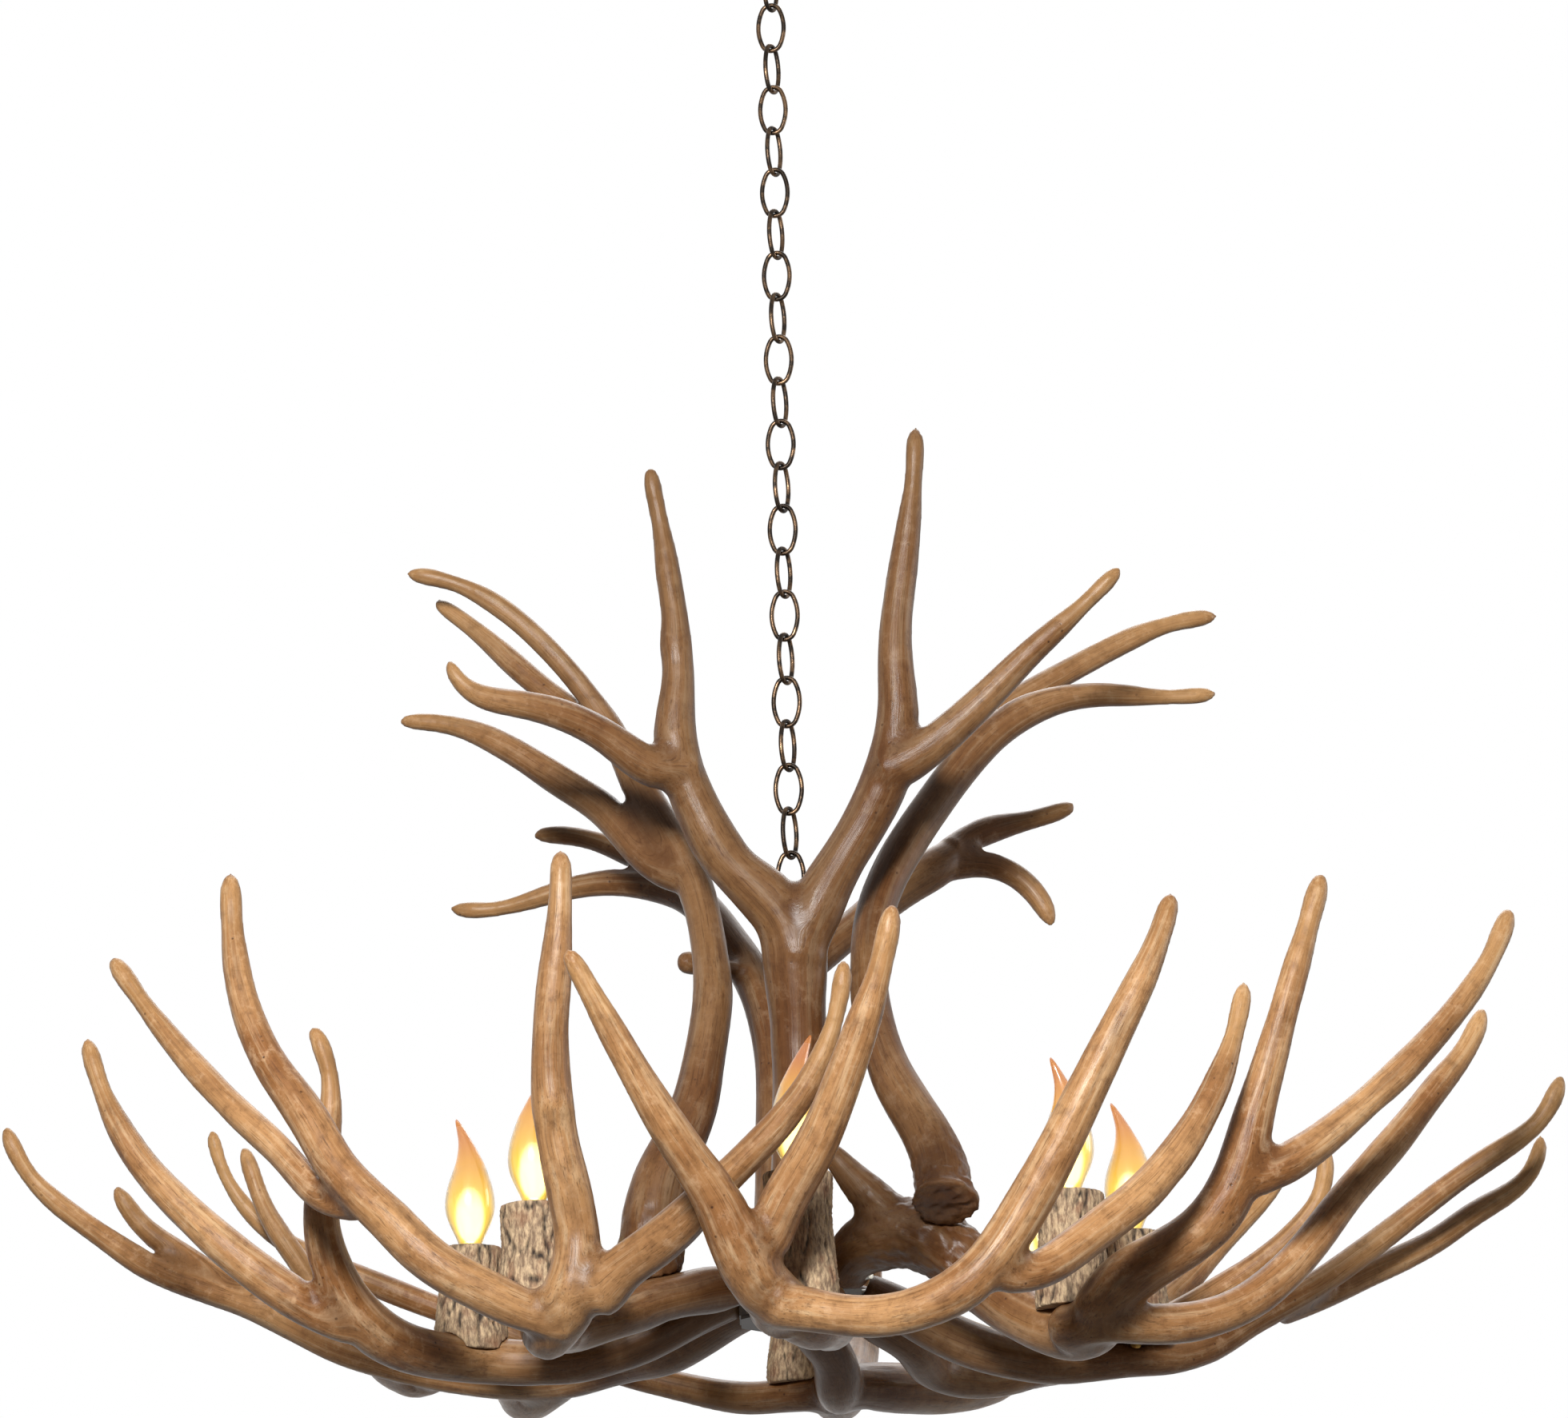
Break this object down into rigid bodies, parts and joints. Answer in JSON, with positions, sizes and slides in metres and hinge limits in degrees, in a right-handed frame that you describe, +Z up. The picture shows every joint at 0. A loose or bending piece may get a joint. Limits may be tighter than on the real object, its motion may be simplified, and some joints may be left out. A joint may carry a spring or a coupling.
{
  "type": "antler chandelier",
  "caption": "Chandelier of branching antlers round a central hub, with flame bulbs on bark-covered candle sleeves, hanging from a link chain.",
  "frame": {"origin": "centre of the top face of the ceiling loop's threaded collar, on the axis of its bore", "axes": "+Z up, out of the collar's bore, along the hanging chain; +X to the right and +Y away from someone who stands in front of the lamp"},
  "size_m": [1.1031, 0.8221, 1.1086],
  "materials": {
    "antler": "cast and hand stained, satin",
    "bark": "rough",
    "bulb": "amber tint, glossy",
    "chain_metal": "dark bronze",
    "hub_metal": "dark bronze",
    "steel": "plain",
    "stud_brass": "plain",
    "socket_body": "moulded"
  },
  "bodies": {
    "ceiling_loop": {"ceiling_loop": "chain_metal"},
    "link_01": {"chain_link_01": "chain_metal"},
    "link_02": {"chain_link_02": "chain_metal"},
    "link_03": {"chain_link_03": "chain_metal"},
    "link_04": {"chain_link_04": "chain_metal"},
    "link_05": {"chain_link_05": "chain_metal"},
    "link_06": {"chain_link_06": "chain_metal"},
    "link_07": {"chain_link_07": "chain_metal"},
    "link_08": {"chain_link_08": "chain_metal"},
    "link_09": {"chain_link_09": "chain_metal"},
    "link_10": {"chain_link_10": "chain_metal"},
    "link_11": {"chain_link_11": "chain_metal"},
    "link_12": {"chain_link_12": "chain_metal"},
    "link_13": {"chain_link_13": "chain_metal"},
    "link_14": {"chain_link_14": "chain_metal"},
    "link_15": {"chain_link_15": "chain_metal"},
    "link_16": {"chain_link_16": "chain_metal"},
    "link_17": {"chain_link_17": "chain_metal"},
    "link_18": {"chain_link_18": "chain_metal"},
    "link_19": {"chain_link_19": "chain_metal"},
    "link_20": {"chain_link_20": "chain_metal"},
    "link_21": {"chain_link_21": "chain_metal"},
    "link_22": {"chain_link_22": "chain_metal"},
    "antler_frame": {"stem_loop": "chain_metal", "stem": "steel", "hub": "hub_metal", "hub_cover": "hub_metal", "stem_nuts": "steel", "wood_screws": "steel", "lamp_sockets": "socket_body", "socket_studs": "stud_brass", "lower_antler_front": "antler", "lower_antler_front_left": "antler", "lower_antler_left": "antler", "lower_antler_back_left": "antler", "lower_antler_back": "antler", "lower_antler_back_right": "antler", "lower_antler_right": "antler", "lower_antler_front_right": "antler", "upper_antler_front": "antler", "upper_antler_left": "antler", "upper_antler_back": "antler", "upper_antler_right": "antler", "bark_sleeve_front": "bark", "bark_sleeve_front_left": "bark", "bark_sleeve_left": "bark", "bark_sleeve_back_left": "bark", "bark_sleeve_back": "bark", "bark_sleeve_back_right": "bark", "bark_sleeve_right": "bark", "bark_sleeve_front_right": "bark"},
    "bulb_front": {"bulb_front": "bulb"},
    "bulb_front_left": {"bulb_front_left": "bulb"},
    "bulb_left": {"bulb_left": "bulb"},
    "bulb_back_left": {"bulb_back_left": "bulb"},
    "bulb_back": {"bulb_back": "bulb"},
    "bulb_back_right": {"bulb_back_right": "bulb"},
    "bulb_right": {"bulb_right": "bulb"},
    "bulb_front_right": {"bulb_front_right": "bulb"}
  },
  "joints": [
    {"name": "link_01_swing", "type": "hinge", "parent": "ceiling_loop", "child": "link_01", "pos_m": [0, 0, -0.042], "axis": [0.9781, -0.2079, 0], "range_deg": [-30, 30]},
    {"name": "link_02_swing", "type": "hinge", "parent": "link_01", "child": "link_02", "pos_m": [0, 0, -0.07295], "axis": [0.5, 0.866, 0], "range_deg": [-30, 30]},
    {"name": "link_03_swing", "type": "hinge", "parent": "link_02", "child": "link_03", "pos_m": [0, 0, -0.10475], "axis": [-0.9781, 0.2079, 0], "range_deg": [-30, 30]},
    {"name": "link_04_swing", "type": "hinge", "parent": "link_03", "child": "link_04", "pos_m": [0, 0, -0.13655], "axis": [-0.5, -0.866, 0], "range_deg": [-30, 30]},
    {"name": "link_05_swing", "type": "hinge", "parent": "link_04", "child": "link_05", "pos_m": [0, 0, -0.16835], "axis": [0.9781, -0.2079, 0], "range_deg": [-30, 30]},
    {"name": "link_06_swing", "type": "hinge", "parent": "link_05", "child": "link_06", "pos_m": [0, 0, -0.20015], "axis": [0.5, 0.866, 0], "range_deg": [-30, 30]},
    {"name": "link_07_swing", "type": "hinge", "parent": "link_06", "child": "link_07", "pos_m": [0, 0, -0.23195], "axis": [-0.9781, 0.2079, 0], "range_deg": [-30, 30]},
    {"name": "link_08_swing", "type": "hinge", "parent": "link_07", "child": "link_08", "pos_m": [0, 0, -0.26375], "axis": [-0.5, -0.866, 0], "range_deg": [-30, 30]},
    {"name": "link_09_swing", "type": "hinge", "parent": "link_08", "child": "link_09", "pos_m": [0, 0, -0.29555], "axis": [0.9781, -0.2079, 0], "range_deg": [-30, 30]},
    {"name": "link_10_swing", "type": "hinge", "parent": "link_09", "child": "link_10", "pos_m": [0, 0, -0.32735], "axis": [0.5, 0.866, 0], "range_deg": [-30, 30]},
    {"name": "link_11_swing", "type": "hinge", "parent": "link_10", "child": "link_11", "pos_m": [0, 0, -0.35915], "axis": [-0.9781, 0.2079, 0], "range_deg": [-30, 30]},
    {"name": "link_12_swing", "type": "hinge", "parent": "link_11", "child": "link_12", "pos_m": [0, 0, -0.39095], "axis": [-0.5, -0.866, 0], "range_deg": [-30, 30]},
    {"name": "link_13_swing", "type": "hinge", "parent": "link_12", "child": "link_13", "pos_m": [0, 0, -0.42275], "axis": [0.9781, -0.2079, 0], "range_deg": [-30, 30]},
    {"name": "link_14_swing", "type": "hinge", "parent": "link_13", "child": "link_14", "pos_m": [0, 0, -0.45455], "axis": [0.5, 0.866, 0], "range_deg": [-30, 30]},
    {"name": "link_15_swing", "type": "hinge", "parent": "link_14", "child": "link_15", "pos_m": [0, 0, -0.48635], "axis": [-0.9781, 0.2079, 0], "range_deg": [-30, 30]},
    {"name": "link_16_swing", "type": "hinge", "parent": "link_15", "child": "link_16", "pos_m": [0, 0, -0.51815], "axis": [-0.5, -0.866, 0], "range_deg": [-30, 30]},
    {"name": "link_17_swing", "type": "hinge", "parent": "link_16", "child": "link_17", "pos_m": [0, 0, -0.54995], "axis": [0.9781, -0.2079, 0], "range_deg": [-30, 30]},
    {"name": "link_18_swing", "type": "hinge", "parent": "link_17", "child": "link_18", "pos_m": [0, 0, -0.58175], "axis": [0.5, 0.866, 0], "range_deg": [-30, 30]},
    {"name": "link_19_swing", "type": "hinge", "parent": "link_18", "child": "link_19", "pos_m": [0, 0, -0.61355], "axis": [-0.9781, 0.2079, 0], "range_deg": [-30, 30]},
    {"name": "link_20_swing", "type": "hinge", "parent": "link_19", "child": "link_20", "pos_m": [0, 0, -0.64535], "axis": [-0.5, -0.866, 0], "range_deg": [-30, 30]},
    {"name": "link_21_swing", "type": "hinge", "parent": "link_20", "child": "link_21", "pos_m": [0, 0, -0.67715], "axis": [0.9781, -0.2079, 0], "range_deg": [-30, 30]},
    {"name": "link_22_swing", "type": "hinge", "parent": "link_21", "child": "link_22", "pos_m": [0, 0, -0.70895], "axis": [0.5, 0.866, 0], "range_deg": [-30, 30]},
    {"name": "frame_swing", "type": "hinge", "parent": "link_22", "child": "antler_frame", "pos_m": [0, 0, -0.74075], "axis": [-0.9781, 0.2079, 0], "range_deg": [-30, 30]},
    {"name": "bulb_front_screw", "type": "hinge", "parent": "antler_frame", "child": "bulb_front", "pos_m": [0, -0.225, -0.9818], "axis": [0, 0, 1], "continuous": true},
    {"name": "bulb_front_left_screw", "type": "hinge", "parent": "antler_frame", "child": "bulb_front_left", "pos_m": [-0.176, -0.14, -0.9818], "axis": [0, 0, 1], "continuous": true},
    {"name": "bulb_left_screw", "type": "hinge", "parent": "antler_frame", "child": "bulb_left", "pos_m": [-0.226, 0, -0.9818], "axis": [0, 0, 1], "continuous": true},
    {"name": "bulb_back_left_screw", "type": "hinge", "parent": "antler_frame", "child": "bulb_back_left", "pos_m": [-0.158, 0.17, -0.9818], "axis": [0, 0, 1], "continuous": true},
    {"name": "bulb_back_screw", "type": "hinge", "parent": "antler_frame", "child": "bulb_back", "pos_m": [0, 0.228, -0.9818], "axis": [0, 0, 1], "continuous": true},
    {"name": "bulb_back_right_screw", "type": "hinge", "parent": "antler_frame", "child": "bulb_back_right", "pos_m": [0.158, 0.17, -0.9818], "axis": [0, 0, 1], "continuous": true},
    {"name": "bulb_right_screw", "type": "hinge", "parent": "antler_frame", "child": "bulb_right", "pos_m": [0.228, 0, -0.9818], "axis": [0, 0, 1], "continuous": true},
    {"name": "bulb_front_right_screw", "type": "hinge", "parent": "antler_frame", "child": "bulb_front_right", "pos_m": [0.181, -0.14, -0.9818], "axis": [0, 0, 1], "continuous": true}
  ]
}
